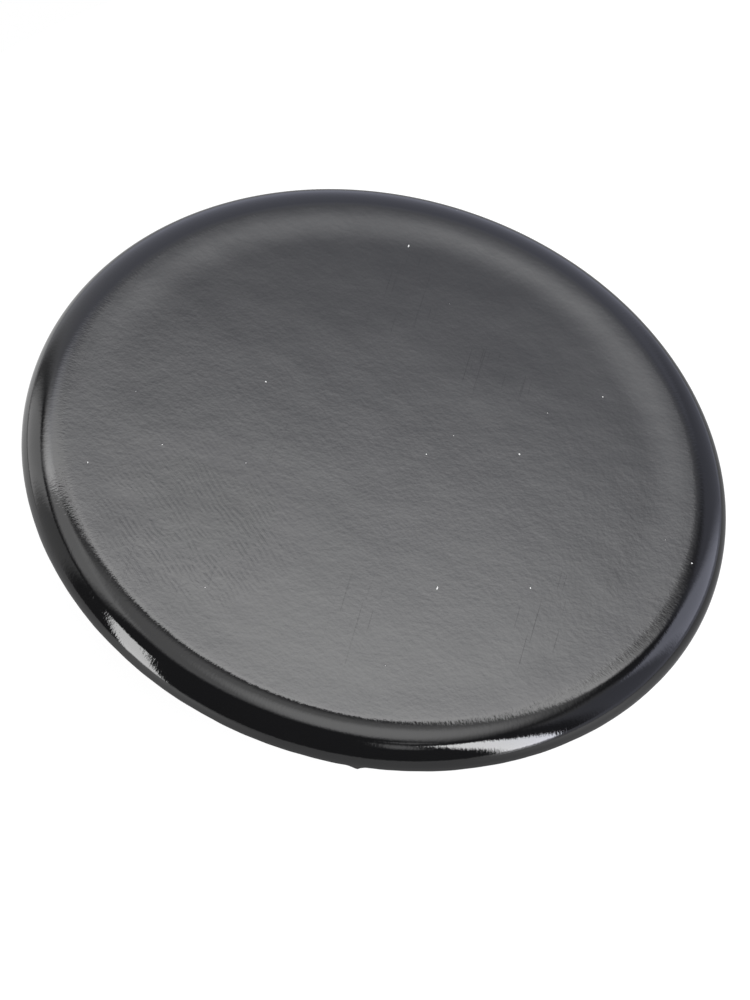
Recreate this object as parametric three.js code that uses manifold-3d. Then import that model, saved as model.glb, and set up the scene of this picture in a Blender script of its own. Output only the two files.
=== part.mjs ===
// Low-profile magnetic security tag detacher, millimetres, +Z up.
// Origin: on the surface it stands on, under the centre of the disc.
// A glossy cap, a conical housing and a base plate are clamped together by four screws.
// Between them sits a steel yoke cup with a central magnet and a segmented ring magnet.

import * as THREE from "three";
import { mergeVertices } from "three/addons/utils/BufferGeometryUtils.js";
import Module from "manifold-3d";

const wasm = await Module();
wasm.setup();

// ---- Driving dimensions -------------------------------------------------------------------

// Overall
const DISC_RADIUS = 34;
const TOTAL_HEIGHT = 15;
const CAP_SEGMENTS = 80;
const BODY_SEGMENTS = 56;
const SMALL_SEGMENTS = 20;
const FIT = 0.2; // clearance all round between parts that slide together

// Cap
const SHOULDER_RADIUS = 3;
const CAP_WALL = 1.8;
const SHOULDER_STEPS = 7;
const SKIRT_Z = TOTAL_HEIGHT - SHOULDER_RADIUS; // the shoulder ends upright, at a sharp edge
const CAP_UNDERSIDE_Z = TOTAL_HEIGHT - CAP_WALL;
const SKIRT_INNER_RADIUS = DISC_RADIUS - CAP_WALL;
const NUB = { width: 1, depth: 0.6, drop: 0.35, inset: 0.02, bearing: -79.4 };

// Base plate
const FOOT_STAND_OFF = 1.2; // how far the feet hold the base plate off the surface
const FLANGE_RADIUS = 25.4;
const FLANGE_THICKNESS = 1.2;
const FLANGE_EDGE = 0.4;
const SPIGOT_RADIUS = 24.2;
const SPIGOT_HEIGHT = 1;
const FLANGE_TOP_Z = FOOT_STAND_OFF + FLANGE_THICKNESS;
const BASE_TOP_Z = FLANGE_TOP_Z + SPIGOT_HEIGHT;

// Housing
const HOUSING_WALL = 1.6;
const HOUSING_FOOT_RADIUS = 26;
const HOUSING_NECK_RADIUS = 30.5;
const RIM_PLATE_RADIUS = SKIRT_INNER_RADIUS - FIT;
const RIM_PLATE_TOP_Z = CAP_UNDERSIDE_Z - FIT;
const NECK_FILLET = 1.5;
const FILLET_STEPS = 3;
const GROOVE = { inner: 29.8, outer: 31.2, floor: 12.5 };

// Gasket, lying in the groove and touching the cap
const GASKET_SIDE_GAP = 0.15;

// Screws and the pillars they go into
const CORNER_COUNT = 4;
const SCREW_CIRCLE = 21;
const PILLAR_RADIUS = 2.4;
const PILOT_RADIUS = 1.25;
const PILOT_TOP_Z = 12;
const SCREW_SHANK_RADIUS = 1.15;
const SCREW_HOLE_RADIUS = 1.45;
const SCREW_HEAD_RADIUS = 2.3;
const SCREW_HEAD_HEIGHT = 0.95;
const SCREW_LENGTH = 9;
const SCREW_TIP = 0.8;
const COUNTERBORE_RADIUS = 2.5;
const COUNTERBORE_DEPTH = 1.1;
const CROSS = { length: 2.5, width: 0.55, depth: 0.5 };

// Feet
const FOOT_CIRCLE = 18.8;
const FOOT_RADIUS = 3.6;
const FOOT_RECESS_DEPTH = 0.8;
const FOOT_CHAMFER = 0.4;

// Label on the underside
const LABEL_RADIUS = 10;
const LABEL_THICKNESS = 0.2;
const LABEL_RECESS_RADIUS = 10.4;
const LABEL_RECESS_DEPTH = 0.4;

// Magnet set
const CUP_RADIUS = 17.4;
const CUP_WALL = 2;
const CUP_FLOOR = 2.2;
const CUP_EDGE = 0.4;
const CUP_TOP_Z = 12;
const CUP_RIM_GAP = 0.1; // between the cup and the locating rim round it
const LOCATING_RIM = { wall: 0.8, height: 1.8 };
const MAGNET_FLOOR_Z = BASE_TOP_Z + CUP_FLOOR;
const CORE_RADIUS = 7.4;
const CORE_TOP_Z = 11;
const POLE_TIP_RADIUS = 5.6;
const POLE_TIP_Z = 12.8;
const SPACER = { inner: 7.6, outer: 9.2, top: 11.4 };
const RING_INNER_RADIUS = 9.4;
const RING_OUTER_RADIUS = 15.2;
const RING_COUNT = 6;
const RING_GAP_DEGREES = 2;
const MAGNET_CHAMFER = 0.3;
const PAD_INNER_RADIUS = 8.6;
const PAD_OUTER_RADIUS = 17;

// ---- Materials ----------------------------------------------------------------------------

const finish = (color, roughness, metalness) =>
  new THREE.MeshStandardMaterial({ color, roughness, metalness });

const glossBlack = finish(0x0c0c0e, 0.12, 0);
const matteBlack = finish(0x17181a, 0.55, 0);
const blackRubber = finish(0x101010, 0.8, 0);
const greyFoam = finish(0x3a3c40, 0.95, 0);
const zincSteel = finish(0xb9bcc0, 0.35, 1);
const nickel = finish(0xc9c6bf, 0.22, 1);
const brass = finish(0xb8964a, 0.3, 1);
const silverFoil = finish(0xc4c6c8, 0.5, 0.6);

// ---- Geometry helpers ---------------------------------------------------------------------

const radians = THREE.MathUtils.degToRad;

// A turned piece: its outline runs anticlockwise, radius across and height up.
function turned(outline, segments = BODY_SEGMENTS) {
  const points = outline.map(([radius, height]) => new THREE.Vector2(radius, height));
  return new THREE.LatheGeometry(points, segments).rotateX(Math.PI / 2);
}

// A plain upright cylinder between two heights.
function rod(radius, bottom, top, segments = SMALL_SEGMENTS) {
  const height = top - bottom;
  return new THREE.CylinderGeometry(radius, radius, height, segments)
    .rotateX(Math.PI / 2)
    .translate(0, 0, bottom + height / 2);
}

// A square-edged ring between two heights.
function ring(inner, outer, bottom, top) {
  return turned([
    [inner, bottom],
    [outer, bottom],
    [outer, top],
    [inner, top],
    [inner, bottom],
  ]);
}

// Points on an arc, both ends included, angles in degrees.
function arc(centreRadius, centreHeight, radius, from, to, steps) {
  return Array.from({ length: steps + 1 }, (_, step) => {
    const angle = radians(from + ((to - from) * step) / steps);
    return [
      centreRadius + radius * Math.cos(angle),
      centreHeight + radius * Math.sin(angle),
    ];
  });
}

// A copy of a geometry moved out to a point on a circle, turned by the same bearing.
function atBearing(geometry, circle, bearing) {
  return geometry
    .clone()
    .translate(circle, 0, 0)
    .rotateZ(radians(bearing));
}

function solidFrom(geometry) {
  const bare = geometry.clone();
  bare.deleteAttribute("normal");
  bare.deleteAttribute("uv");
  const merged = mergeVertices(bare, 1e-4);
  const mesh = new wasm.Mesh({
    numProp: 3,
    vertProperties: merged.attributes.position.array,
    triVerts: new Uint32Array(merged.index.array),
  });
  return new wasm.Manifold(mesh);
}

function geometryFrom(solid) {
  const mesh = solid.getMesh();
  const geometry = new THREE.BufferGeometry();
  geometry.setAttribute("position", new THREE.BufferAttribute(mesh.vertProperties, 3));
  geometry.setIndex(new THREE.BufferAttribute(mesh.triVerts, 1));
  geometry.computeVertexNormals();
  return geometry;
}

// Joins the added geometries to the first one, then cuts the removed ones out of it.
function shaped(start, added, removed) {
  const joined = added.reduce((solid, part) => solid.add(solidFrom(part)), solidFrom(start));
  const cut = removed.reduce((solid, part) => solid.subtract(solidFrom(part)), joined);
  return geometryFrom(cut);
}

const bearings = (count, first) =>
  Array.from({ length: count }, (_, index) => first + (360 * index) / count);

const screwBearings = bearings(CORNER_COUNT, 45);
const footBearings = bearings(CORNER_COUNT, 0);

// ---- Casing -------------------------------------------------------------------------------

// Flat face and quarter-round shoulder, with a short skirt and four screw pillars inside.
function topCap() {
  const shoulderCentre = DISC_RADIUS - SHOULDER_RADIUS;
  const shell = turned(
    [
      [0, CAP_UNDERSIDE_Z],
      [SKIRT_INNER_RADIUS, CAP_UNDERSIDE_Z],
      [SKIRT_INNER_RADIUS, SKIRT_Z],
      ...arc(shoulderCentre, SKIRT_Z, SHOULDER_RADIUS, 0, 90, SHOULDER_STEPS),
      [0, TOTAL_HEIGHT],
    ],
    CAP_SEGMENTS,
  );
  const embed = CAP_WALL / 4; // how far joined pieces reach into the shell
  const pillar = rod(PILLAR_RADIUS, BASE_TOP_Z, CAP_UNDERSIDE_Z + embed);
  const pilot = rod(PILOT_RADIUS, BASE_TOP_Z - embed, PILOT_TOP_Z);
  const nub = new THREE.BoxGeometry(NUB.depth, NUB.width, NUB.drop + embed).translate(
    DISC_RADIUS - NUB.inset - NUB.depth / 2,
    0,
    SKIRT_Z + (embed - NUB.drop) / 2,
  );
  return shaped(
    shell,
    [
      ...screwBearings.map((bearing) => atBearing(pillar, SCREW_CIRCLE, bearing)),
      atBearing(nub, 0, NUB.bearing),
    ],
    screwBearings.map((bearing) => atBearing(pilot, SCREW_CIRCLE, bearing)),
  );
}

// Conical wall under the cap, flaring out to a rim plate with a gasket groove.
function housing() {
  const rise = SKIRT_Z - FLANGE_TOP_Z;
  const slope = Math.atan2(rise, HOUSING_NECK_RADIUS - HOUSING_FOOT_RADIUS);
  const fillet = arc(
    HOUSING_NECK_RADIUS + NECK_FILLET * Math.tan(slope / 2),
    SKIRT_Z - NECK_FILLET,
    NECK_FILLET,
    90 + THREE.MathUtils.radToDeg(slope),
    90,
    FILLET_STEPS,
  );
  return turned([
    [HOUSING_FOOT_RADIUS - HOUSING_WALL, FLANGE_TOP_Z],
    [HOUSING_FOOT_RADIUS, FLANGE_TOP_Z],
    ...fillet,
    [RIM_PLATE_RADIUS, SKIRT_Z],
    [RIM_PLATE_RADIUS, RIM_PLATE_TOP_Z],
    [GROOVE.outer, RIM_PLATE_TOP_Z],
    [GROOVE.outer, GROOVE.floor],
    [GROOVE.inner, GROOVE.floor],
    [GROOVE.inner, RIM_PLATE_TOP_Z],
    [HOUSING_NECK_RADIUS - HOUSING_WALL, RIM_PLATE_TOP_Z],
    [HOUSING_NECK_RADIUS - HOUSING_WALL, SKIRT_Z],
    [HOUSING_FOOT_RADIUS - HOUSING_WALL, FLANGE_TOP_Z],
  ]);
}

// Flange under the housing wall, spigot inside it, and a rim that centres the yoke cup.
function basePlate() {
  const rimInner = CUP_RADIUS + CUP_RIM_GAP;
  const rimOuter = rimInner + LOCATING_RIM.wall;
  const plate = turned([
    [0, FOOT_STAND_OFF + LABEL_RECESS_DEPTH],
    [LABEL_RECESS_RADIUS, FOOT_STAND_OFF + LABEL_RECESS_DEPTH],
    [LABEL_RECESS_RADIUS, FOOT_STAND_OFF],
    [FLANGE_RADIUS - FLANGE_EDGE, FOOT_STAND_OFF],
    [FLANGE_RADIUS, FOOT_STAND_OFF + FLANGE_EDGE],
    [FLANGE_RADIUS, FLANGE_TOP_Z],
    [SPIGOT_RADIUS, FLANGE_TOP_Z],
    [SPIGOT_RADIUS, BASE_TOP_Z],
    [rimOuter, BASE_TOP_Z],
    [rimOuter, BASE_TOP_Z + LOCATING_RIM.height],
    [rimInner, BASE_TOP_Z + LOCATING_RIM.height],
    [rimInner, BASE_TOP_Z],
    [0, BASE_TOP_Z],
  ]);
  const below = FOOT_STAND_OFF - 1; // cutters start clear of the underside
  const counterbore = rod(COUNTERBORE_RADIUS, below, FOOT_STAND_OFF + COUNTERBORE_DEPTH);
  const screwHole = rod(SCREW_HOLE_RADIUS, below, BASE_TOP_Z + 1);
  const footRecess = rod(FOOT_RADIUS + FIT, below, FOOT_STAND_OFF + FOOT_RECESS_DEPTH);
  return shaped(
    plate,
    [],
    [
      ...screwBearings.map((bearing) => atBearing(counterbore, SCREW_CIRCLE, bearing)),
      ...screwBearings.map((bearing) => atBearing(screwHole, SCREW_CIRCLE, bearing)),
      ...footBearings.map((bearing) => atBearing(footRecess, FOOT_CIRCLE, bearing)),
    ],
  );
}

function rimGasket() {
  const inner = GROOVE.inner + GASKET_SIDE_GAP;
  const outer = GROOVE.outer - GASKET_SIDE_GAP;
  return ring(inner, outer, GROOVE.floor, CAP_UNDERSIDE_Z);
}

// ---- Magnet set ---------------------------------------------------------------------------

function yokeCup() {
  return turned([
    [0, BASE_TOP_Z],
    [CUP_RADIUS - CUP_EDGE, BASE_TOP_Z],
    [CUP_RADIUS, BASE_TOP_Z + CUP_EDGE],
    [CUP_RADIUS, CUP_TOP_Z],
    [CUP_RADIUS - CUP_WALL, CUP_TOP_Z],
    [CUP_RADIUS - CUP_WALL, MAGNET_FLOOR_Z],
    [0, MAGNET_FLOOR_Z],
  ]);
}

function coreMagnet() {
  return turned([
    [0, MAGNET_FLOOR_Z],
    [CORE_RADIUS - MAGNET_CHAMFER, MAGNET_FLOOR_Z],
    [CORE_RADIUS, MAGNET_FLOOR_Z + MAGNET_CHAMFER],
    [CORE_RADIUS, CORE_TOP_Z - MAGNET_CHAMFER],
    [CORE_RADIUS - MAGNET_CHAMFER, CORE_TOP_Z],
    [0, CORE_TOP_Z],
  ]);
}

// Soft-iron cone on the core magnet, which draws the field up to the middle of the face.
function polePiece() {
  return turned([
    [0, CORE_TOP_Z],
    [CORE_RADIUS - MAGNET_CHAMFER, CORE_TOP_Z],
    [POLE_TIP_RADIUS, POLE_TIP_Z],
    [0, POLE_TIP_Z],
  ]);
}

function spacerRing() {
  return ring(SPACER.inner, SPACER.outer, MAGNET_FLOOR_Z, SPACER.top);
}

// One segment of the ring magnet, centred on bearing 0.
function ringMagnet() {
  const half = radians((360 / RING_COUNT - RING_GAP_DEGREES) / 2);
  const outline = new THREE.Shape()
    .absarc(0, 0, RING_OUTER_RADIUS, -half, half, false)
    .absarc(0, 0, RING_INNER_RADIUS, half, -half, true);
  const depth = CUP_TOP_Z - MAGNET_FLOOR_Z;
  return new THREE.ExtrudeGeometry(outline, { depth, bevelEnabled: false, curveSegments: 8 })
    .translate(0, 0, MAGNET_FLOOR_Z);
}

function cushionPad() {
  return ring(PAD_INNER_RADIUS, PAD_OUTER_RADIUS, CUP_TOP_Z, CAP_UNDERSIDE_Z);
}

// ---- Fasteners, feet and label ------------------------------------------------------------

// Thread-forming pan-head screw, driven upwards from the underside.
function screw() {
  const seat = FOOT_STAND_OFF + COUNTERBORE_DEPTH;
  const face = seat - SCREW_HEAD_HEIGHT;
  const edge = SCREW_HEAD_HEIGHT / 2;
  const blank = turned(
    [
      [0, face],
      [SCREW_HEAD_RADIUS - edge, face],
      [SCREW_HEAD_RADIUS, face + edge],
      [SCREW_HEAD_RADIUS, seat],
      [SCREW_SHANK_RADIUS, seat],
      [SCREW_SHANK_RADIUS, seat + SCREW_LENGTH - SCREW_TIP],
      [0, seat + SCREW_LENGTH],
    ],
    SMALL_SEGMENTS,
  );
  const slot = new THREE.BoxGeometry(CROSS.length, CROSS.width, CROSS.depth * 2)
    .translate(0, 0, face);
  return shaped(blank, [], [slot, slot.clone().rotateZ(Math.PI / 2)]);
}

function foot() {
  return turned(
    [
      [0, 0],
      [FOOT_RADIUS - FOOT_CHAMFER, 0],
      [FOOT_RADIUS, FOOT_CHAMFER],
      [FOOT_RADIUS, FOOT_STAND_OFF + FOOT_RECESS_DEPTH],
      [0, FOOT_STAND_OFF + FOOT_RECESS_DEPTH],
    ],
    SMALL_SEGMENTS,
  );
}

function ratingLabel() {
  const top = FOOT_STAND_OFF + LABEL_RECESS_DEPTH;
  return rod(LABEL_RADIUS, top - LABEL_THICKNESS, top, BODY_SEGMENTS);
}

// ---- Assembly -----------------------------------------------------------------------------

function named(name, geometry, material) {
  const mesh = new THREE.Mesh(geometry, material);
  mesh.name = name;
  return mesh;
}

// Copies of one piece round a circle, numbered from 1.
function copies(name, geometry, material, circle, places) {
  const set = new THREE.Group();
  places.forEach((bearing, index) => {
    const angle = radians(bearing);
    const copy = named(`${name}_${index + 1}`, geometry, material);
    copy.position.set(circle * Math.cos(angle), circle * Math.sin(angle), 0);
    copy.rotation.z = angle;
    set.add(copy);
  });
  return set;
}

function casing() {
  return new THREE.Group().add(
    named("top_cap", topCap(), glossBlack),
    named("housing", housing(), matteBlack),
    named("base_plate", basePlate(), matteBlack),
    named("rim_gasket", rimGasket(), blackRubber),
    named("rating_label", ratingLabel(), silverFoil),
    copies("foot", foot(), blackRubber, FOOT_CIRCLE, footBearings),
    copies("screw", screw(), zincSteel, SCREW_CIRCLE, screwBearings),
  );
}

function magnetSet() {
  return new THREE.Group().add(
    named("yoke_cup", yokeCup(), zincSteel),
    named("core_magnet", coreMagnet(), nickel),
    named("pole_piece", polePiece(), zincSteel),
    named("spacer_ring", spacerRing(), brass),
    named("cushion_pad", cushionPad(), greyFoam),
    copies("ring_magnet", ringMagnet(), nickel, 0, bearings(RING_COUNT, 0)),
  );
}

const detacher = new THREE.Group().add(casing(), magnetSet());

export default detacher;
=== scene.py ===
import math

import bmesh
import bpy
from mathutils import Matrix, Vector


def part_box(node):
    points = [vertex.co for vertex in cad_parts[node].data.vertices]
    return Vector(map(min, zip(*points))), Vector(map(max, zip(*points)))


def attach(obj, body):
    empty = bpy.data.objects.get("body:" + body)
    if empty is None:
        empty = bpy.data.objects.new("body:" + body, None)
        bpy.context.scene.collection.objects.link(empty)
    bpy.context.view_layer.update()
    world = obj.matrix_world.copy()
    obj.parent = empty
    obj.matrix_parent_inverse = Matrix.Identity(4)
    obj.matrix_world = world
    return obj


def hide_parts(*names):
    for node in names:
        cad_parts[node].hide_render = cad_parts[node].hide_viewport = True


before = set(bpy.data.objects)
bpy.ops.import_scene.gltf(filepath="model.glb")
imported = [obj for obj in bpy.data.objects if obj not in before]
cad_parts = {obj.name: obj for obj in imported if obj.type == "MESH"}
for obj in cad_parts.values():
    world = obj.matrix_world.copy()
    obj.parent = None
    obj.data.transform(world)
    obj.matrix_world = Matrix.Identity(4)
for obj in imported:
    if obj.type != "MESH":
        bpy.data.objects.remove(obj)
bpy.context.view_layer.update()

# Low-profile magnetic security tag detacher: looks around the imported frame.
# All lengths are metres. MM turns a size quoted in millimetres into metres.

MM = 0.001
MICRON = 0.000001
BODY = "root"

# ---- Sizes taken from the frame -----------------------------------------------------------

cap_low, cap_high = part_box("top_cap")
housing_low, housing_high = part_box("housing")
base_low, base_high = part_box("base_plate")
label_low, label_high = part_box("rating_label")
gasket_low, gasket_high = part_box("rim_gasket")

CAP_RADIUS = cap_high.x
CAP_TOP = cap_high.z
PILLAR_FOOT = cap_low.z
HOUSING_RADIUS = housing_high.x
HOUSING_FOOT = housing_low.z
HOUSING_TOP = housing_high.z
BASE_RADIUS = base_high.x
BASE_BOTTOM = base_low.z
SCREW_SEAT = BASE_BOTTOM + 1.1 * MM
LABEL_RADIUS = label_high.x

SCREWS = [f"screw_{number}" for number in range(1, 5)]
FEET = [f"foot_{number}" for number in range(1, 5)]


def spot(node):
    """A node's centre, seen from above."""
    low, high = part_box(node)
    centre = (low + high) / 2
    return (centre.x, centre.y)


# ---- Sizes that match the CAD source, and finer ones that only the looks need ---------------

SHOULDER = 3 * MM
RIM_Z = CAP_TOP - SHOULDER
CAP_WALL = 1.8 * MM
CAP_UNDERSIDE = CAP_TOP - CAP_WALL
PILLAR_RADIUS = 2.4 * MM
PILOT_RADIUS = 1.25 * MM
PILOT_TOP = CAP_TOP - 3 * MM

# The face is very slightly dished: it rises to a low crest just inside the shoulder.
DISH_START = 25.2 * MM
CREST_RADIUS = 29.95 * MM
DISH_SLOPE = math.radians(1.15)
SHOULDER_EASE = 1.4 * MM  # length over which the shoulder takes up its full curve
LIP_SINK = 0.76  # share of the crest's height that is gone at the very front

NUB_BEARING = math.radians(-79.4)

ROUND_SEGMENTS = 384
MIDDLE_SEGMENTS = 192
SMALL_SEGMENTS = 72
SHARP_EDGE = math.radians(32)


# ---- Mesh helpers -------------------------------------------------------------------------


def shade(bm):
    """Smooth shading, apart from the sharp edges."""
    for face in bm.faces:
        face.smooth = True
    for edge in bm.edges:
        edge.smooth = edge.calc_face_angle(0) < SHARP_EDGE


def new_object(name, bm):
    bmesh.ops.recalc_face_normals(bm, faces=bm.faces)
    shade(bm)
    mesh = bpy.data.meshes.new(name)
    bm.to_mesh(mesh)
    bm.free()
    made = bpy.data.objects.new(name, mesh)
    bpy.context.scene.collection.objects.link(made)
    return made


def turned(name, outline, segments=MIDDLE_SEGMENTS, centre=(0, 0)):
    """A closed turned solid. The outline is (radius, height) points and starts and ends on
    the axis, or closes on itself."""
    bm = bmesh.new()
    closed = outline[0] == outline[-1]
    points = outline[:-1] if closed else outline
    rings = []
    for radius, height in points:
        if radius == 0:
            rings.append([bm.verts.new((centre[0], centre[1], height))])
            continue
        ring = []
        for step in range(segments):
            angle = 2 * math.pi * step / segments
            across = centre[0] + radius * math.cos(angle)
            along = centre[1] + radius * math.sin(angle)
            ring.append(bm.verts.new((across, along, height)))
        rings.append(ring)
    pairs = list(zip(rings, rings[1:]))
    if closed:
        pairs.append((rings[-1], rings[0]))
    for low, high in pairs:
        join_rings(bm, low, high, segments)
    return new_object(name, bm)


def join_rings(bm, low, high, segments):
    """Faces between two rings of points, either of which may be a single point."""
    for step in range(segments):
        after = (step + 1) % segments
        if len(low) == 1 and len(high) == 1:
            return
        if len(low) == 1:
            bm.faces.new((low[0], high[after], high[step]))
        elif len(high) == 1:
            bm.faces.new((low[step], low[after], high[0]))
        else:
            bm.faces.new((low[step], low[after], high[after], high[step]))


def rounded(corners, steps=5):
    """An outline whose corners are rounded. Each corner is (radius, height, rounding)."""
    outline = []
    last = len(corners) - 1
    for index, (across, height, rounding) in enumerate(corners):
        here = Vector((across, height))
        if rounding == 0 or index in (0, last):
            outline.append((across, height))
            continue
        before = Vector(corners[index - 1][:2])
        after = Vector(corners[index + 1][:2])
        outline.extend(corner_arc(before, here, after, rounding, steps))
    return outline


def corner_arc(before, here, after, rounding, steps):
    """The arc that rounds off the corner here, between its two neighbours."""
    back = (before - here).normalized()
    on = (after - here).normalized()
    half = back.angle(on) / 2
    reach = rounding / math.tan(half)
    middle = here + (back + on).normalized() * (rounding / math.sin(half))
    start = here + back * reach - middle
    end = here + on * reach - middle
    sweep = start.angle_signed(end)
    points = []
    for step in range(steps + 1):
        arm = start.copy()
        arm.rotate(Matrix.Rotation(-sweep * step / steps, 2))
        points.append(tuple(middle + arm))
    return points


def rod(name, radius, bottom, top, centre, segments=SMALL_SEGMENTS):
    outline = [(0, bottom), (radius, bottom), (radius, top), (0, top)]
    return turned(name, outline, segments, centre)


def cross_cutter(centre, bottom, depth, arm, width, turn):
    """A plus-shaped cutter that tapers as it goes up into a screw head."""
    half = width / 2
    plus = [(half, half), (half, arm), (-half, arm), (-half, half)]
    plus += [(-arm, half), (-arm, -half), (-half, -half), (-half, -arm)]
    plus += [(half, -arm), (half, -half), (arm, -half), (arm, half)]
    bm = bmesh.new()
    layers = []
    wide_at_mouth, narrow_at_tip = 1.15, 0.5
    for height, scale in ((bottom, wide_at_mouth), (bottom + depth, narrow_at_tip)):
        layer = []
        for across, along in plus:
            spin = Matrix.Rotation(turn, 2) @ Vector((across * scale, along * scale))
            layer.append(bm.verts.new((centre[0] + spin.x, centre[1] + spin.y, height)))
        layers.append(layer)
    join_rings(bm, layers[0], layers[1], len(plus))
    bm.faces.new(layers[0])
    bm.faces.new(layers[1])
    return new_object("cross", bm)


def combine(target, others, operation):
    """Joins or cuts with each helper object, then removes the helpers."""
    for other in others:
        modifier = target.modifiers.new("combine", "BOOLEAN")
        modifier.operation = operation
        modifier.solver = "EXACT"
        modifier.object = other
    apply_modifiers(target)
    for other in others:
        bpy.data.objects.remove(other)


def apply_modifiers(target):
    evaluated = target.evaluated_get(bpy.context.evaluated_depsgraph_get())
    mesh = bpy.data.meshes.new_from_object(evaluated)
    target.modifiers.clear()
    target.data = mesh


def sharpen(target):
    """Joins doubled points and marks the sharp edges again after a boolean."""
    bm = bmesh.new()
    bm.from_mesh(target.data)
    bmesh.ops.remove_doubles(bm, verts=bm.verts, dist=MICRON / 10)
    shade(bm)
    bm.to_mesh(target.data)
    bm.free()


def bevel(target, width):
    """Rounds the edges of a CAD node, whose faces have to be joined first."""
    weld = target.modifiers.new("weld", "WELD")
    weld.merge_threshold = MICRON
    modifier = target.modifiers.new("bevel", "BEVEL")
    modifier.width = width
    modifier.segments = 2
    modifier.limit_method = "ANGLE"
    modifier.angle_limit = math.radians(40)


def on_circle(radius, bearing):
    return (radius * math.cos(bearing), radius * math.sin(bearing))


def finish_piece(piece, node, material):
    """Puts a new piece in place of its CAD node."""
    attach(piece, BODY)
    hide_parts(node)
    piece.data.materials.clear()
    piece.data.materials.append(material)


# ---- Node helpers -------------------------------------------------------------------------


class Graph:
    """Short calls for building one node tree."""

    def __init__(self, tree):
        self.tree = tree
        self.tree.nodes.clear()

    def node(self, kind, inputs=None, **settings):
        made = self.tree.nodes.new(kind)
        for key, value in settings.items():
            setattr(made, key, value)
        for key, value in (inputs or {}).items():
            self.feed(made.inputs[key], value)
        return made

    def feed(self, socket, value):
        if isinstance(value, bpy.types.NodeSocket):
            self.tree.links.new(value, socket)
        else:
            socket.default_value = value

    def math(self, operation, first, second=0.0, third=0.0, clamp=False):
        made = self.node("ShaderNodeMath", operation=operation, use_clamp=clamp)
        for index, value in enumerate((first, second, third)):
            self.feed(made.inputs[index], value)
        return made.outputs[0]

    def ramp(self, value, low, high, to_low=0.0, to_high=1.0, smooth=True):
        """Maps low..high to to_low..to_high, clamped."""
        made = self.node("ShaderNodeMapRange", clamp=not smooth)
        made.interpolation_type = "SMOOTHSTEP" if smooth else "LINEAR"
        for index, number in enumerate((value, low, high, to_low, to_high)):
            self.feed(made.inputs[index], number)
        return made.outputs[0]

    def noise(self, vector, scale, detail=2.0, rough=0.5):
        inputs = {"Vector": vector, "Scale": scale, "Detail": detail, "Roughness": rough}
        return self.node("ShaderNodeTexNoise", inputs).outputs["Fac"]

    def mix(self, factor, first, second):
        """A colour mix."""
        made = self.node("ShaderNodeMix", data_type="RGBA")
        self.feed(made.inputs[0], factor)
        self.feed(made.inputs[6], first)
        self.feed(made.inputs[7], second)
        return made.outputs[2]

    def scaled(self, vector, scale, turn=0.0):
        made = self.node("ShaderNodeMapping", {"Vector": vector})
        made.inputs["Scale"].default_value = scale
        made.inputs["Rotation"].default_value = (0, 0, turn)
        return made.outputs[0]


def new_material(name, colour, roughness, metallic=0.0, ior=1.5):
    """A material with a principled shader, its graph, and object coordinates in metres."""
    material = bpy.data.materials.new(name)
    material.use_nodes = True
    material.diffuse_color = (*colour, 1)
    graph = Graph(material.node_tree)
    shader = graph.node("ShaderNodeBsdfPrincipled")
    shader.inputs["Base Color"].default_value = (*colour, 1)
    shader.inputs["Roughness"].default_value = roughness
    shader.inputs["Metallic"].default_value = metallic
    shader.inputs["IOR"].default_value = ior
    graph.node("ShaderNodeOutputMaterial", {"Surface": shader.outputs[0]})
    place = graph.node("ShaderNodeTexCoord").outputs["Object"]
    return material, graph, shader, place


def add_bump(graph, shader, height, depth):
    bump = graph.node("ShaderNodeBump", {"Height": height, "Distance": depth, "Strength": 1.0})
    graph.feed(shader.inputs["Normal"], bump.outputs[0])


# ---- Materials ----------------------------------------------------------------------------

PER_MM = 1000.0  # texture cells per metre for one cell per millimetre
INK = (0.0032, 0.0032, 0.0036)


def off_axis(graph, parts):
    """Distance from the vertical axis."""
    across = graph.math("POWER", parts.outputs["X"], 2.0)
    along = graph.math("POWER", parts.outputs["Y"], 2.0)
    return graph.math("SQRT", graph.math("ADD", across, along))


def rim_grain(graph, place, radius, height):
    """Coordinates that follow the rim, so that texture in them runs down the shoulder."""
    parts = graph.node("ShaderNodeSeparateXYZ", {"Vector": place})
    outward = graph.math("DIVIDE", CAP_RADIUS, graph.math("MAXIMUM", radius, 5 * MM))
    joined = graph.node("ShaderNodeCombineXYZ")
    graph.feed(joined.inputs["X"], graph.math("MULTIPLY", parts.outputs["X"], outward))
    graph.feed(joined.inputs["Y"], graph.math("MULTIPLY", parts.outputs["Y"], outward))
    down = graph.math("SUBTRACT", height, radius)
    graph.feed(joined.inputs["Z"], graph.math("MULTIPLY", down, 0.4))
    return joined.outputs[0]


def gloss_ripple(graph, place, radius, height):
    """Height of the moulded skin in metres: fine ripple, fainter at the back, and low swells."""
    broad = graph.math("MULTIPLY", graph.noise(place, 0.10 * PER_MM, 1.0), 24 * MICRON)
    middle = graph.math("MULTIPLY", graph.noise(place, 0.24 * PER_MM, 1.0), 8.5 * MICRON)
    back = graph.node("ShaderNodeSeparateXYZ", {"Vector": place}).outputs["Y"]
    strength = graph.ramp(back, -4 * MM, 22 * MM, 4.8 * MICRON, 1.9 * MICRON)
    fine = graph.math("MULTIPLY", graph.noise(place, 1.7 * PER_MM, 3.0, 0.6), strength)
    along = rim_grain(graph, place, radius, height)
    teeth = graph.noise(along, 4.8 * PER_MM, 2.0, 0.6)
    on_shoulder = graph.ramp(radius, 29.5 * MM, 31.0 * MM, 0.0, 6.2 * MICRON)
    total = graph.math("ADD", broad, middle)
    total = graph.math("ADD", total, fine)
    return graph.math("ADD", total, graph.math("MULTIPLY", teeth, on_shoulder))


THUMB_PLACE = (-15 * MM, -15 * MM, CAP_TOP)


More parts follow.
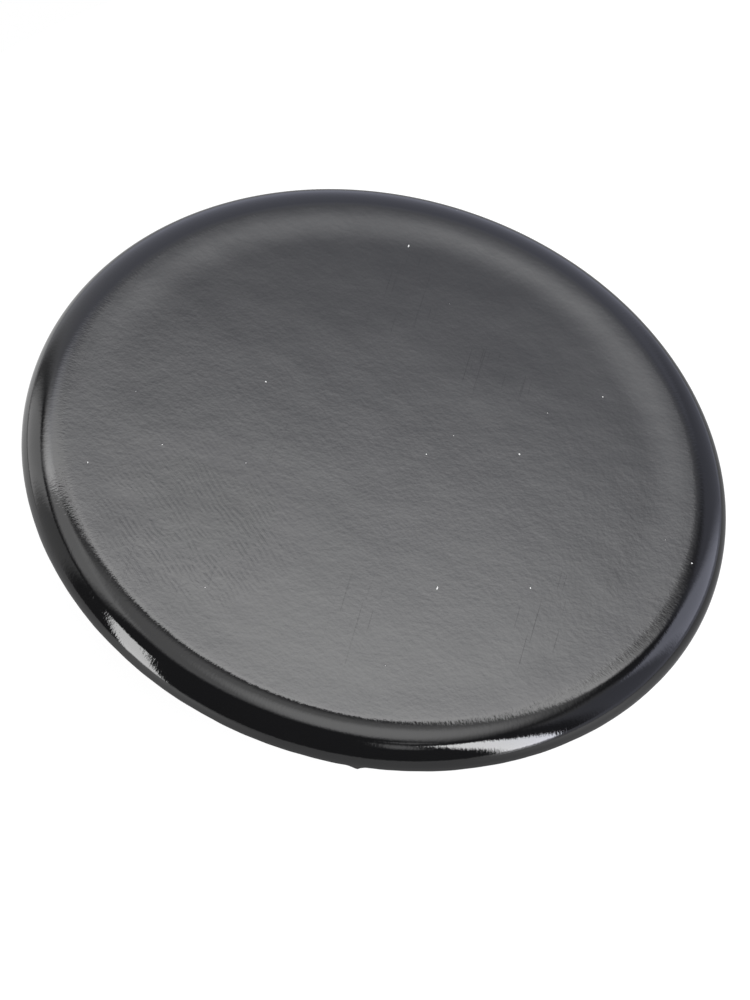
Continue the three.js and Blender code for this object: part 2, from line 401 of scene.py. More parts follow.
def handling_marks(graph, place):
    """Where skin grease dulls the face, from 0 to 1: one thumb mark and fainter wipes."""
    reach = graph.node("ShaderNodeVectorMath", {0: place, 1: THUMB_PLACE}, operation="DISTANCE")
    near_thumb = graph.ramp(reach.outputs["Value"], 5 * MM, 13 * MM, 1.0, 0.0)
    streaks = graph.node("ShaderNodeTexWave", {"Vector": place, "Scale": 2.6 * PER_MM / math.pi})
    streaks.bands_direction = "DIAGONAL"
    streaks.inputs["Distortion"].default_value = 9.0
    streaks.inputs["Detail Scale"].default_value = 0.25
    broken = graph.noise(place, 0.8 * PER_MM, 4.0, 0.7)
    slanted = graph.scaled(place, (1.0, 2.6, 1.0), math.radians(35))
    wipes = graph.noise(slanted, 0.2 * PER_MM, 4.0, 0.6)
    thumb = graph.math("MULTIPLY", graph.ramp(wipes, 0.36, 0.5), near_thumb)
    streak = graph.ramp(streaks.outputs["Fac"], 0.3, 0.7)
    lines = graph.math("MULTIPLY", streak, graph.ramp(broken, 0.38, 0.56))
    faint = graph.math("MULTIPLY", graph.ramp(wipes, 0.52, 0.75), 0.2)
    film = graph.math("ADD", graph.math("MULTIPLY", lines, 0.6), 0.12)
    return graph.math("ADD", graph.math("MULTIPLY", thumb, film), faint, clamp=True)


def dust(graph, place, cells_per_mm, radius_mm, kept):
    """Sparse specks seen from above, 1 on a speck. They are round in the given coordinates."""
    cells = graph.node("ShaderNodeTexVoronoi", {"Vector": place, "Scale": cells_per_mm * PER_MM})
    cells.voronoi_dimensions = "2D"
    colour = graph.node("ShaderNodeSeparateColor", {"Color": cells.outputs["Color"]})
    chosen = graph.ramp(colour.outputs[0], 1 - kept, 1.01 - kept)
    size = graph.ramp(colour.outputs[1], 0.0, 1.0, 0.5, 1.0)
    limit = graph.math("MULTIPLY", size, cells_per_mm * radius_mm)
    speck = graph.math("LESS_THAN", cells.outputs["Distance"], limit)
    return graph.math("MULTIPLY", speck, chosen)


def gloss_black():
    """High-gloss black moulding: ripple, a thumb mark, hairlines and dust."""
    material, graph, shader, place = new_material("gloss_black", INK, 0.05)
    parts = graph.node("ShaderNodeSeparateXYZ", {"Vector": place})
    radius = off_axis(graph, parts)
    height = gloss_ripple(graph, place, radius, parts.outputs["Z"])

    lines = graph.noise(graph.scaled(place, (6.0, 0.08, 1.0), math.radians(8)), 0.9 * PER_MM, 1.0)
    patch = graph.ramp(graph.noise(place, 0.09 * PER_MM, 1.0), 0.54, 0.64)
    hair = graph.math("MULTIPLY", graph.ramp(lines, 0.66, 0.74), patch)
    height = graph.math("SUBTRACT", height, graph.math("MULTIPLY", hair, 1.5 * MICRON))

    marks = handling_marks(graph, place)
    height = graph.math("ADD", height, graph.math("MULTIPLY", marks, 2.2 * MICRON))
    add_bump(graph, shader, height, 1.0)
    graph.feed(shader.inputs["Roughness"], graph.ramp(marks, 0.0, 1.0, 0.04, 0.17, smooth=False))

    lint = graph.scaled(place, (1.0, 0.35, 1.0), math.radians(50))
    grains = graph.math("ADD", dust(graph, place, 0.16, 0.09, 0.05), dust(graph, place, 0.5, 0.06, 0.018))
    specks = graph.math("ADD", grains, dust(graph, lint, 0.22, 0.07, 0.06), clamp=True)
    tone = graph.mix(marks, (*INK, 1), (*(channel * 1.5 for channel in INK), 1))
    graph.feed(shader.inputs["Base Color"], graph.mix(specks, tone, (0.55, 0.55, 0.53, 1)))
    return material


def matte_black():
    """Spark-eroded black moulding."""
    colour = (0.02, 0.0205, 0.022)
    material, graph, shader, place = new_material("matte_black", colour, 0.5)
    texture = graph.noise(place, 3.0 * PER_MM, 3.0, 0.6)
    flow = graph.noise(place, 0.12 * PER_MM, 2.0)
    add_bump(graph, shader, texture, 55 * MICRON)
    graph.feed(shader.inputs["Roughness"], graph.ramp(flow, 0.3, 0.7, 0.42, 0.56))
    light = tuple(channel * 1.35 for channel in colour)
    graph.feed(shader.inputs["Base Color"], graph.mix(flow, (*colour, 1), (*light, 1)))
    return material


def soft_rubber(name):
    """Dull black rubber with a little lint."""
    colour = (0.016, 0.016, 0.0165)
    material, graph, shader, place = new_material(name, colour, 0.78, ior=1.45)
    texture = graph.noise(place, 9.0 * PER_MM, 2.0)
    lint = graph.ramp(graph.noise(place, 1.4 * PER_MM, 4.0, 0.7), 0.55, 0.75)
    add_bump(graph, shader, texture, 12 * MICRON)
    graph.feed(shader.inputs["Roughness"], graph.ramp(lint, 0.0, 1.0, 0.72, 0.88))
    pale = tuple(channel * 2.2 for channel in colour)
    graph.feed(shader.inputs["Base Color"], graph.mix(lint, (*colour, 1), (*pale, 1)))
    return material


def foam_grey():
    """Open-cell foam, with painted shade in the hollows of its cells."""
    material, graph, shader, place = new_material("foam_grey", (0.05, 0.052, 0.056), 0.95)
    cells = graph.node("ShaderNodeTexVoronoi", {"Vector": place, "Scale": 3.0 * PER_MM})
    add_bump(graph, shader, cells.outputs["Distance"], 60 * MICRON)
    # Painted shade: the cell hollows are darker than the cell walls.
    shaded_hollow, wall = (0.03, 0.031, 0.034, 1), (0.075, 0.078, 0.083, 1)
    graph.feed(shader.inputs["Base Color"], graph.mix(cells.outputs["Distance"], shaded_hollow, wall))
    return material


def plated(name, colour, roughness):
    """Turned and plated metal: fine rings round the axis, and uneven lustre."""
    material, graph, shader, place = new_material(name, colour, roughness, metallic=1.0)
    mottled = graph.noise(place, 0.8 * PER_MM, 4.0, 0.6)
    rings = graph.noise(graph.scaled(place, (1.0, 1.0, 12.0)), 1.5 * PER_MM, 2.0)
    add_bump(graph, shader, rings, 4 * MICRON)
    lustre = graph.ramp(mottled, 0.3, 0.7, roughness * 0.8, roughness * 1.4)
    graph.feed(shader.inputs["Roughness"], lustre)
    dull = tuple(channel * 0.78 for channel in colour)
    graph.feed(shader.inputs["Base Color"], graph.mix(mottled, (*dull, 1), (*colour, 1)))
    return material


def blank_foil():
    """Blank satin label stock, with a faint brushed grain, darker towards its edge."""
    colour = (0.62, 0.63, 0.64)
    material, graph, shader, place = new_material("blank_foil", colour, 0.38, metallic=0.85)
    grain = graph.noise(graph.scaled(place, (1.0, 24.0, 1.0)), 0.16 * PER_MM, 4.0, 0.65)
    add_bump(graph, shader, grain, 22 * MICRON)
    graph.feed(shader.inputs["Roughness"], graph.ramp(grain, 0.3, 0.7, 0.32, 0.46))
    radius = off_axis(graph, graph.node("ShaderNodeSeparateXYZ", {"Vector": place}))
    edge = graph.ramp(radius, LABEL_RADIUS - 0.5 * MM, LABEL_RADIUS)
    brushed = graph.ramp(grain, 0.35, 0.65)
    tone = graph.mix(brushed, (0.50, 0.51, 0.52, 1), (0.68, 0.69, 0.70, 1))
    graph.feed(shader.inputs["Base Color"], graph.mix(edge, tone, (0.42, 0.42, 0.42, 1)))
    return material


# ---- Pieces -------------------------------------------------------------------------------


def cap_crown():
    """Top outline of the cap from the rim's bottom edge in to the axis, (radius, height).

    The tilt of the surface is walked outwards from the centre: level, then a low rise to the
    crest, then a shoulder that eases into its full curve and ends upright."""
    step = 0.05 * MM
    long_step = 4 * step
    tilt_at_end = math.pi / 2
    curve = 1 / SHOULDER
    points = [(0.0, 0.0)]
    across, height, tilt, along = DISH_START, 0.0, 0.0, 0.0
    points.append((across, height))
    while across < CREST_RADIUS:
        through = (across - DISH_START) / (CREST_RADIUS - DISH_START)
        slope = DISH_SLOPE * math.sin(math.pi * through ** 1.6)
        across += long_step
        height += long_step * math.tan(slope)
        points.append((across, height))
    while tilt < tilt_at_end:
        tilt = min(tilt_at_end, tilt + step * curve * min(1.0, along / SHOULDER_EASE))
        along += step
        across += step * math.cos(tilt)
        height -= step * math.sin(tilt)
        points.append((across, height))
    crest = max(height for _, height in points)
    stretch_across = (CAP_RADIUS - CREST_RADIUS) / (across - CREST_RADIUS)
    stretch_down = SHOULDER / (crest - height)
    crown = []
    for radius, level in points:
        if radius > CREST_RADIUS:
            radius = CREST_RADIUS + (radius - CREST_RADIUS) * stretch_across
            level = crest - (crest - level) * stretch_down
        crown.append((radius, CAP_TOP - crest + level))
    crown[-1] = (CAP_RADIUS, RIM_Z)
    return crown[::-1]


def even_out_lip(cap, face_level):
    """The lip is lowest at the front: it sinks there to a quarter of its height at the back."""
    skin = CAP_WALL - 0.4 * MM
    for vertex in cap.data.vertices:
        place = vertex.co
        radius = math.hypot(place.x, place.y)
        outside = place.z > CAP_TOP - skin or radius > CAP_RADIUS - skin
        if radius < DISH_START or not outside:
            continue
        lost = LIP_SINK * (1 - place.y / radius) / 2
        if radius < CREST_RADIUS:
            place.z -= lost * (place.z - face_level)
        else:
            place.z -= lost * (CAP_TOP - face_level) * max(0.0, place.z - RIM_Z) / SHOULDER


def make_nub():
    """The torn stub of moulding flash under the rim: a long slope, then a steep side. Its points
    are (along the rim, height above the rim's edge), in millimetres."""
    slope = [(-1.5, 0.25), (-1.45, 0.02), (-0.75, -0.13), (-0.2, -0.36)]
    steep = [(0.05, -0.42), (0.3, -0.2), (0.8, 0.01), (0.85, 0.25)]
    profile = slope + steep
    inner, outer = CAP_RADIUS - 0.9 * MM, CAP_RADIUS - 0.03 * MM
    bm = bmesh.new()
    sides = []
    for radius in (inner, outer):
        side = []
        for along, height in profile:
            bearing = NUB_BEARING + along * MM / CAP_RADIUS
            side.append(bm.verts.new((*on_circle(radius, bearing), RIM_Z + height * MM)))
        sides.append(side)
    count = len(profile)
    for step in range(count):
        after = (step + 1) % count
        bm.faces.new((sides[0][step], sides[0][after], sides[1][after], sides[1][step]))
    bm.faces.new(sides[0])
    bm.faces.new(reversed(sides[1]))
    return new_object("nub", bm)


def roughen_rim(cap):
    """The rim's bottom edge isn't trimmed quite true."""
    near, depth = 0.01 * MM, 0.018 * MM
    for vertex in cap.data.vertices:
        place = vertex.co
        if abs(place.z - RIM_Z) > near or math.hypot(place.x, place.y) < CAP_RADIUS - near:
            continue
        bearing = math.atan2(place.y, place.x)
        wave = math.sin(23 * bearing) + 0.8 * math.sin(41 * bearing + 1.3)
        wave += 0.6 * math.sin(97 * bearing + 0.4)
        place.z += depth * wave


def make_cap(material):
    inner = CAP_RADIUS - CAP_WALL
    under = rounded(
        [
            (0, CAP_UNDERSIDE, 0),
            (inner, CAP_UNDERSIDE, 0.3 * MM),
            (inner, RIM_Z, 0.1 * MM),
            (CAP_RADIUS, RIM_Z, 0),
        ],
        steps=3,
    )
    crown = cap_crown()
    face_level = crown[-1][1]
    cap = turned("cap", under[:-1] + crown, ROUND_SEGMENTS)
    even_out_lip(cap, face_level)
    roughen_rim(cap)
    pillars, pilots = [], []
    for node in SCREWS:
        place = spot(node)
        pillars.append(rod("pillar", PILLAR_RADIUS, PILLAR_FOOT, CAP_UNDERSIDE + CAP_WALL / 4, place))
        pilots.append(rod("pilot", PILOT_RADIUS, PILLAR_FOOT - MM, PILOT_TOP, place))
    combine(cap, pillars + [make_nub()], "UNION")
    combine(cap, pilots, "DIFFERENCE")
    sharpen(cap)
    finish_piece(cap, "top_cap", material)


def make_housing(material):
    foot_outer = 26 * MM
    neck_outer = 30.5 * MM
    wall = 1.6 * MM
    groove_inner, groove_outer, groove_floor = 29.8 * MM, 31.2 * MM, gasket_low.z
    edge = 0.15 * MM
    outline = rounded(
        [
            (foot_outer - wall, HOUSING_FOOT, 0),
            (foot_outer, HOUSING_FOOT, edge),
            (neck_outer, RIM_Z, 1.5 * MM),
            (HOUSING_RADIUS, RIM_Z, edge),
            (HOUSING_RADIUS, HOUSING_TOP, edge),
            (groove_outer, HOUSING_TOP, 0),
            (groove_outer, groove_floor, 0),
            (groove_inner, groove_floor, 0),
            (groove_inner, HOUSING_TOP, 0),
            (neck_outer - wall, HOUSING_TOP, 0),
            (neck_outer - wall, RIM_Z, 0),
            (foot_outer - wall, HOUSING_FOOT, 0),
        ],
        steps=8,
    )
    housing = turned("housing_shell", outline, ROUND_SEGMENTS)
    finish_piece(housing, "housing", material)


def make_base(material):
    spigot = 24.2 * MM
    spigot_bottom, spigot_top = HOUSING_FOOT, PILLAR_FOOT
    rim_inner, rim_outer = 17.5 * MM, 18.3 * MM
    recess, recess_top = LABEL_RADIUS + 0.4 * MM, label_high.z
    edge = 0.12 * MM
    outline = rounded(
        [
            (0, recess_top, 0),
            (recess, recess_top, 0),
            (recess, BASE_BOTTOM, edge),
            (BASE_RADIUS, BASE_BOTTOM, 0.45 * MM),
            (BASE_RADIUS, spigot_bottom, edge),
            (spigot, spigot_bottom, 0),
            (spigot, spigot_top, edge),
            (rim_outer, spigot_top, 0),
            (rim_outer, base_high.z, edge),
            (rim_inner, base_high.z, edge),
            (rim_inner, spigot_top, 0),
            (0, spigot_top, 0),
        ],
        steps=4,
    )
    base = turned("base", outline, ROUND_SEGMENTS)
    bore, hole, recess_for_foot = 2.5 * MM, 1.45 * MM, 3.8 * MM
    ejector, ejector_depth, ejector_circle = 1.1 * MM, 0.06 * MM, 14 * MM
    below = BASE_BOTTOM - MM
    cutters = []
    for node in SCREWS:
        place = spot(node)
        cutters.append(rod("bore", bore, below, SCREW_SEAT, place))
        cutters.append(rod("hole", hole, below, spigot_top + MM, place))
    for node in FEET:
        # An odd number of sides keeps the cutter's corners off the plate's own edges.
        cutters.append(rod("recess", recess_for_foot, below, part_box(node)[1].z, spot(node), 71))
    for number in range(8):
        bearing = math.radians(22.5 + 45 * number)
        place = on_circle(ejector_circle, bearing)
        cutters.append(rod("ejector", ejector, below, BASE_BOTTOM + ejector_depth, place, 48))
    combine(base, cutters, "DIFFERENCE")
    sharpen(base)
    finish_piece(base, "base_plate", material)


def make_screw(node, material):
    """Pan-head screw with a cross recess and a rolled thread."""
    low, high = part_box(node)
    place = spot(node)
    head, root, crest = 2.3 * MM, 0.95 * MM, 1.15 * MM
    pitch = 0.9 * MM
    tip = 0.8 * MM
    outline = rounded(
        [
            (0, low.z, 0),
            (head - 0.1 * MM, low.z, 0.42 * MM),
            (head, SCREW_SEAT, 0.06 * MM),
            (root, SCREW_SEAT, 0),
        ],
        steps=6,
    )
    level = SCREW_SEAT + 0.5 * MM
    while level + pitch < high.z - tip:
        outline += [(root, level), (crest, level + pitch * 0.22), (root, level + pitch * 0.5)]
        level += pitch
    outline += [(root, high.z - tip), (0, high.z)]
    screw = turned(node + "_detail", outline, SMALL_SEGMENTS, place)
    turn = math.atan2(place[1], place[0]) + math.radians(11) * (1 + int(node[-1]))
    recess_depth, recess_arm, recess_width = 1.1 * MM, 1.35 * MM, 0.62 * MM
    cross = cross_cutter(place, low.z - 0.2 * MM, recess_depth, recess_arm, recess_width, turn)
    combine(screw, [cross], "DIFFERENCE")
    sharpen(screw)
    finish_piece(screw, node, material)


def make_foot(node, material):
    low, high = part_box(node)
    radius = (high.x - low.x) / 2
    outline = rounded(
        [
            (0, low.z + 0.12 * MM, 0),
            (radius - 1.3 * MM, low.z + 0.12 * MM, 0.3 * MM),
            (radius - 0.9 * MM, low.z, 0.2 * MM),
            (radius - 0.05 * MM, low.z, 0.45 * MM),
            (radius, high.z, 0),
            (0, high.z, 0),
        ],
        steps=6,
    )
    foot = turned(node + "_pad", outline, SMALL_SEGMENTS, spot(node))
    finish_piece(foot, node, material)


def make_label(material):
    outline = rounded(
        [
            (0, label_low.z, 0),
            (LABEL_RADIUS, label_low.z, 0.06 * MM),
            (LABEL_RADIUS, label_high.z, 0),
            (0, label_high.z, 0),
        ],
        steps=3,
    )
    label = turned("label", outline, MIDDLE_SEGMENTS)
    finish_piece(label, "rating_label", material)


def make_gasket(material):
    inner, outer = 29.95 * MM, 31.05 * MM
    outline = rounded(
        [
            ((inner + outer) / 2, gasket_low.z, 0),
            (outer, gasket_low.z, 0.2 * MM),
            (outer, gasket_high.z, 0.3 * MM),
            (inner, gasket_high.z, 0.3 * MM),
            (inner, gasket_low.z, 0.2 * MM),
            ((inner + outer) / 2, gasket_low.z, 0),
        ],
        steps=4,
    )
    gasket = turned("gasket", outline, MIDDLE_SEGMENTS)
    finish_piece(gasket, "rim_gasket", material)


def dress_node(node, material, edge=0.12 * MM):
    """A CAD node whose shape is right: small edge bevel and better material."""
    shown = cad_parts[node]
    shown.data.materials.clear()
    shown.data.materials.append(material)
    bevel(shown, edge)


# ---- Studio -------------------------------------------------------------------------------


def patch_light(graph, azimuth, elevation, patch):
    """Brightness of one soft-edged light or wall, seen from the object."""
    rise = graph.math("SUBTRACT", elevation, patch["elevation"])
    bend = graph.math("MULTIPLY", graph.math("MULTIPLY", rise, rise), patch.get("bow", 0.0))
    shift = graph.math("ADD", graph.math("MULTIPLY", rise, patch.get("lean", 0.0)), bend)
    away = graph.math("SUBTRACT", graph.math("SUBTRACT", azimuth, patch["azimuth"]), shift)
    away = graph.math("ABSOLUTE", graph.math("WRAP", away, 180.0, -180.0))
    wide, wide_soft = patch["wide"]
    across = graph.ramp(away, wide - wide_soft, wide + wide_soft, 1.0, 0.0)
    tall, tall_soft = patch["tall"]
    over = graph.ramp(rise, tall - tall_soft, tall + tall_soft, 1.0, 0.0)
    under_soft = patch.get("under", tall_soft)
    under = graph.ramp(rise, -tall - under_soft, -tall + under_soft)
    mask = graph.math("MULTIPLY", graph.math("MULTIPLY", over, under), across)
    return graph.math("MULTIPLY", mask, patch["level"])


# The studio by direction from the object, in degrees. Azimuth 0 is towards the camera and 90 is
# the object's +X side. wide and tall are half sizes with the half width of their soft edges,
# under is the half width of the lower edge, lean and bow slant and bend the sides, and level is
# the brightness, with 1 for white.
LIGHTS = [
    # Tall strips at the left and right of the camera.
    dict(azimuth=-49.4, elevation=8.4, wide=(7.1, 1.5), tall=(22.1, 1.8), under=4, lean=-0.21, level=10.6),
    dict(
        azimuth=58.5,
        elevation=25,
        wide=(7.9, 1.5),
        tall=(25.5, 1.8),
        under=4,
        lean=-0.2,
        bow=-0.003,
        level=14.5,
    ),
    # The same strips again, dim and soft, in the table top.
    dict(azimuth=60, elevation=-8, wide=(6, 6), tall=(8, 9), level=2.6),
    dict(azimuth=-43, elevation=-23, wide=(8, 7), tall=(8, 8), level=1.7),
    # A small reflector and its upper edge.
    dict(azimuth=32, elevation=47, wide=(5.5, 3), tall=(6, 4), level=1.6),
    dict(azimuth=42, elevation=59.5, wide=(8, 3), tall=(2, 2), level=1.3),
]
WALLS = [
    # Left wall, its end, and the ceiling over it.
    dict(azimuth=-110, elevation=0, wide=(12, 5), tall=(29, 2.5), under=12, level=2.0),
    dict(azimuth=-88, elevation=0, wide=(13, 5), tall=(30, 2.5), under=12, level=0.7),
    dict(azimuth=-104, elevation=50, wide=(28, 10), tall=(13, 5), level=2.1),
    # Back wall.
    dict(azimuth=-161, elevation=0, wide=(31, 8), tall=(50, 4), level=0.95),
    # Right wall, its corner with the back wall, and its end.
    dict(azimuth=122, elevation=10, wide=(13, 6), tall=(34, 3), level=2.1),
    dict(azimuth=153, elevation=10, wide=(17, 5), tall=(36, 5), level=0.55),
    dict(azimuth=96, elevation=10, wide=(16, 6), tall=(43, 5), level=0.55),
]
UNLIT_ROOM = 0.1
TABLE_FAR_OFF = 0.82
COOL = (0.93, 0.96, 1.16)

# Upper edge of the large light at the back: (bearing from the back, elevation), degrees.
BACK_EDGE = [(-90, 60), (-35, 62), (-20, 62), (-9, 59.4), (-4, 56.9), (0, 56.8), (8, 57.2)]
BACK_EDGE += [(35, 57), (50, 53.5), (60, 49), (70, 42), (90, 32)]


def back_light(graph, azimuth, elevation):
    """The large light behind the object: sharp upper edge, fading out downwards."""
    bearing = graph.math("WRAP", graph.math("ADD", azimuth, 180.0), 180.0, -180.0)

    # The upper edge, as a curve of the bearing.
    curve = graph.node("ShaderNodeFloatCurve")
    points = curve.mapping.curves[0].points
    spots = [((bearing_at + 90) / 180, edge / 90) for bearing_at, edge in BACK_EDGE]
    points[0].location = spots[0]
    points[-1].location = spots[-1]
    for place in spots[1:-1]:
        points.new(*place)
    curve.mapping.update()
    graph.feed(curve.inputs["Value"], graph.ramp(bearing, -90.0, 90.0, smooth=False))
    edge = graph.math("MULTIPLY", curve.outputs[0], 90.0)
    below = graph.math("SUBTRACT", edge, elevation)
    upper = graph.ramp(below, -1.1, 1.2)

    # The fade downwards from that edge, slower at the sides than in the middle.
    reach_left = graph.ramp(bearing, 5.0, 35.0, 8.5, 18.0)
    reach = graph.math("ADD", reach_left, graph.ramp(bearing, -30.0, -3.0, 6.0, 0.0))
    fade = graph.node("ShaderNodeMapRange", {"Value": below, "From Min": 1.2, "From Max": reach})
    fade.interpolation_type = "SMOOTHSTEP"
    fade.inputs["To Min"].default_value = 1.0
    fade.inputs["To Max"].default_value = 0.0
    tail = graph.ramp(below, 5.0, 14.0, 0.11, 0.0)

    # The two sides end softly, and are a little dimmer than the middle.
    off_middle = graph.math("ABSOLUTE", graph.math("SUBTRACT", bearing, 14.0))
    sides = graph.ramp(off_middle, 48.0, 62.0, 1.0, 0.0)
    right_gain = graph.ramp(bearing, -25.0, -6.0, 0.85, 1.0)
    left_gain = graph.ramp(bearing, 2.0, 16.0, 1.0, 0.78)
    level = graph.math("MULTIPLY", graph.math("MULTIPLY", right_gain, left_gain), 5.35)
    mask = graph.math("MULTIPLY", graph.math("ADD", fade.outputs[0], tail), upper)
    return graph.math("MULTIPLY", graph.math("MULTIPLY", mask, sides), level)


def ceiling(graph, direction, parts):
    """Glow overhead, a little to the right, cut off towards the camera."""
    toward = graph.math("MULTIPLY", parts.outputs["Y"], -1.0)
    lit = graph.ramp(toward, 0.20, 0.36, 1.0, 0.0)
    middle = graph.node("ShaderNodeVectorMath", {0: direction, 1: (0.12, 0.03, 0.99)})
    middle.operation = "DOT_PRODUCT"
    glow = graph.ramp(middle.outputs["Value"], 0.93, 0.995, 0.0, 1.6)
    shelf = graph.ramp(parts.outputs["Z"], 0.82, 0.93, 0.0, 1.3)
    return graph.math("MULTIPLY", graph.math("ADD", glow, shelf), lit)


def make_world():
    world = bpy.data.worlds.new("studio")
    bpy.context.scene.world = world
    world.use_nodes = True
    graph = Graph(world.node_tree)
    direction = graph.node("ShaderNodeTexCoord").outputs["Generated"]
    parts = graph.node("ShaderNodeSeparateXYZ", {"Vector": direction})
    x, y, z = (parts.outputs[axis] for axis in "XYZ")
    to_degrees = 180 / math.pi
    toward = graph.math("MULTIPLY", y, -1.0)
    azimuth = graph.math("MULTIPLY", graph.math("ARCTAN2", x, toward), to_degrees)
    elevation = graph.math("MULTIPLY", graph.math("ARCSINE", z), to_degrees)

    overhead = ceiling(graph, direction, parts)
    room = graph.math("ADD", back_light(graph, azimuth, elevation), overhead)
    for patch in WALLS:
        room = graph.math("ADD", room, patch_light(graph, azimuth, elevation, patch))
    room = graph.math("ADD", room, UNLIT_ROOM)
    lights = patch_light(graph, azimuth, elevation, LIGHTS[0])
    for patch in LIGHTS[1:]:
        lights = graph.math("ADD", lights, patch_light(graph, azimuth, elevation, patch))

    # The table falls away slightly to the left, so its horizon does too.
    drop = graph.math("SUBTRACT", z, graph.math("MULTIPLY", x, 0.15))
    table = graph.ramp(drop, -0.165, -0.095, 1.0, 0.0)
    table_mix = graph.node("ShaderNodeMix", data_type="FLOAT")
    graph.feed(table_mix.inputs[0], table)
    graph.feed(table_mix.inputs[2], room)
    table_mix.inputs[3].default_value = TABLE_FAR_OFF
    total = graph.math("ADD", table_mix.outputs[0], lights)

    # Daylight from behind and from the right is a little cooler than the strips.
    behind, beside = graph.math("MULTIPLY", y, 0.75), graph.math("MULTIPLY", x, 0.55)
    cool_side = graph.math("ADD", behind, beside)
    low_down = graph.ramp(z, 0.68, 0.82, 1.0, 0.0)
    cool = graph.math("MULTIPLY", graph.ramp(cool_side, -0.1, 0.6), low_down)
    tint = graph.mix(cool, (1, 1, 1, 1), (*COOL, 1))
    lighting = graph.node("ShaderNodeBackground", {"Color": tint, "Strength": total})
    shown = graph.node("ShaderNodeBackground", {"Color": (1, 1, 1, 1), "Strength": 1.0})
    seen = graph.node("ShaderNodeLightPath").outputs["Is Camera Ray"]
    both = graph.node("ShaderNodeMixShader", {0: seen, 1: lighting.outputs[0], 2: shown.outputs[0]})
    graph.node("ShaderNodeOutputWorld", {"Surface": both.outputs[0]})


FLOOR_RADIUS = 95 * MM
FLOOR_CENTRE = (30 * MM, -5 * MM, 0)
FLOOR_SEEN = 0.93  # least brightness of the table top for the camera

# Where the lights pool on the table: (centre, radius, extra brightness).
LIGHT_POOLS = [
    ((80 * MM, -36 * MM, 0), 52 * MM, 0.85),
    ((-34 * MM, -62 * MM, 0), 34 * MM, 0.7),
    ((-66 * MM, 15 * MM, 0), 42 * MM, 0.75),
]


def make_floor():
    """A pale table top, bright enough to run into the background. It isn't shown from below, and
    it lets light through under the object."""
    bm = bmesh.new()
    bmesh.ops.create_circle(bm, cap_ends=True, segments=96, radius=FLOOR_RADIUS)
    bm.transform(Matrix.Translation(FLOOR_CENTRE))
    floor = new_object("floor", bm)
    material = bpy.data.materials.new("floor")
    material.use_nodes = True
    graph = Graph(material.node_tree)
    place = graph.node("ShaderNodeTexCoord").outputs["Object"]
    length = graph.node("ShaderNodeVectorMath", {0: place}, operation="LENGTH")
    clear = graph.ramp(length.outputs["Value"], BASE_RADIUS - 2 * MM, BASE_RADIUS, 1.0, 0.0)
    seen = graph.node("ShaderNodeLightPath").outputs["Is Camera Ray"]
    hidden = graph.math("MULTIPLY", clear, graph.math("SUBTRACT", 1.0, seen))
    back = graph.node("ShaderNodeNewGeometry").outputs["Backfacing"]
    gone = graph.math("MAXIMUM", back, hidden)
    paper = graph.node("ShaderNodeBsdfDiffuse", {"Color": (0.14, 0.14, 0.14, 1)})
    to_back_right = graph.node("ShaderNodeVectorMath", {0: place, 1: (0.6, 0.8, 0)})
    to_back_right.operation = "DOT_PRODUCT"
    # Painted shade and light: the table's glow dims from the front towards the back right, behind the
    # object, and each pool adds painted light.
    level = graph.ramp(to_back_right.outputs["Value"], -60 * MM, 50 * MM, 0.62, 0.2)
    for centre, reach, gain in LIGHT_POOLS:
        away = graph.node("ShaderNodeVectorMath", {0: place, 1: centre}, operation="DISTANCE")
        level = graph.math("ADD", level, graph.ramp(away.outputs["Value"], 0.0, reach, gain, 0.0))
    level = graph.math("MAXIMUM", level, graph.math("MULTIPLY", seen, FLOOR_SEEN))
    glow = graph.node("ShaderNodeEmission", {"Strength": level})
    surface = graph.node("ShaderNodeAddShader", {0: paper.outputs[0], 1: glow.outputs[0]})
    empty = graph.node("ShaderNodeBsdfTransparent")
    both = graph.node("ShaderNodeMixShader", {0: gone, 1: surface.outputs[0], 2: empty.outputs[0]})
    graph.node("ShaderNodeOutputMaterial", {"Surface": both.outputs[0]})
    floor.data.materials.append(material)


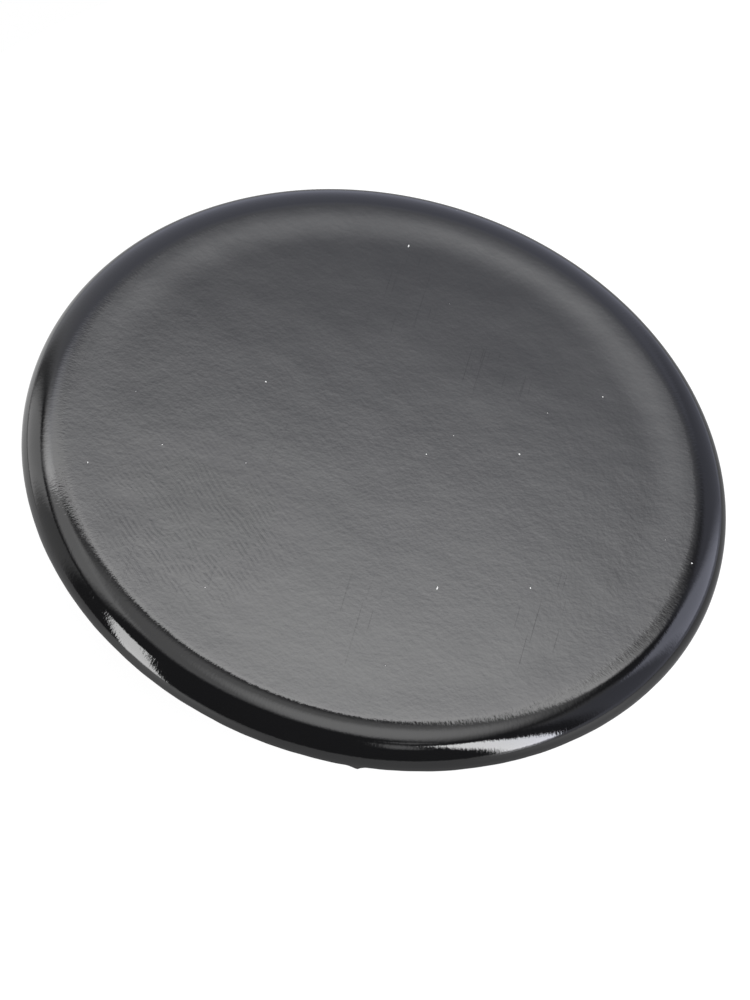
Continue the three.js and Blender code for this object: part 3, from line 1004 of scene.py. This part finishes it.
CAMERA_LENS = 200.0
CAMERA_ELEVATION = math.radians(51.9)
CAMERA_ROLL = math.radians(17.04)
CAMERA_DISTANCE = 527.6 * MM
CAMERA_SLIDE = (-0.33 * MM, -3.18 * MM)  # sideways and upwards in the picture


def make_camera():
    """A long lens above the front edge, rolled so that the disc's right side hangs lower."""
    aim = Vector((0, 0, CAP_TOP - 2 * MM))
    toward = Vector((0, -math.cos(CAMERA_ELEVATION), math.sin(CAMERA_ELEVATION)))
    level_right = Vector((1, 0, 0))
    level_up = toward.cross(level_right)
    turn, lift = math.cos(CAMERA_ROLL), math.sin(CAMERA_ROLL)
    right = level_right * turn + level_up * lift
    up = level_up * turn - level_right * lift
    place = aim + toward * CAMERA_DISTANCE + right * CAMERA_SLIDE[0] + up * CAMERA_SLIDE[1]
    data = bpy.data.cameras.new("camera")
    data.lens = CAMERA_LENS
    data.sensor_width = 36.0
    data.clip_start = 0.01
    data.clip_end = 20.0
    camera = bpy.data.objects.new("camera", data)
    axes = Matrix((right, up, toward)).transposed().to_4x4()
    camera.matrix_world = Matrix.Translation(place) @ axes
    bpy.context.scene.collection.objects.link(camera)
    bpy.context.scene.camera = camera


# ---- Assembly -----------------------------------------------------------------------------


def make_object():
    gloss = gloss_black()
    matte = matte_black()
    rubber = soft_rubber("foot_rubber")
    zinc = plated("zinc_steel", (0.62, 0.63, 0.65), 0.3)
    make_cap(gloss)
    make_housing(matte)
    make_base(matte)
    make_label(blank_foil())
    make_gasket(soft_rubber("gasket_rubber"))
    for node in SCREWS:
        make_screw(node, zinc)
    for node in FEET:
        make_foot(node, rubber)
    nickel = plated("magnet_nickel", (0.66, 0.64, 0.60), 0.22)
    dress_node("yoke_cup", zinc)
    dress_node("core_magnet", nickel)
    dress_node("pole_piece", zinc)
    dress_node("spacer_ring", plated("spacer_brass", (0.72, 0.55, 0.25), 0.28))
    dress_node("cushion_pad", foam_grey(), 0.2 * MM)
    for number in range(1, 7):
        dress_node(f"ring_magnet_{number}", nickel, 0.25 * MM)


make_camera()
make_world()
make_floor()
make_object()
bpy.context.scene.view_settings.view_transform = "Standard"
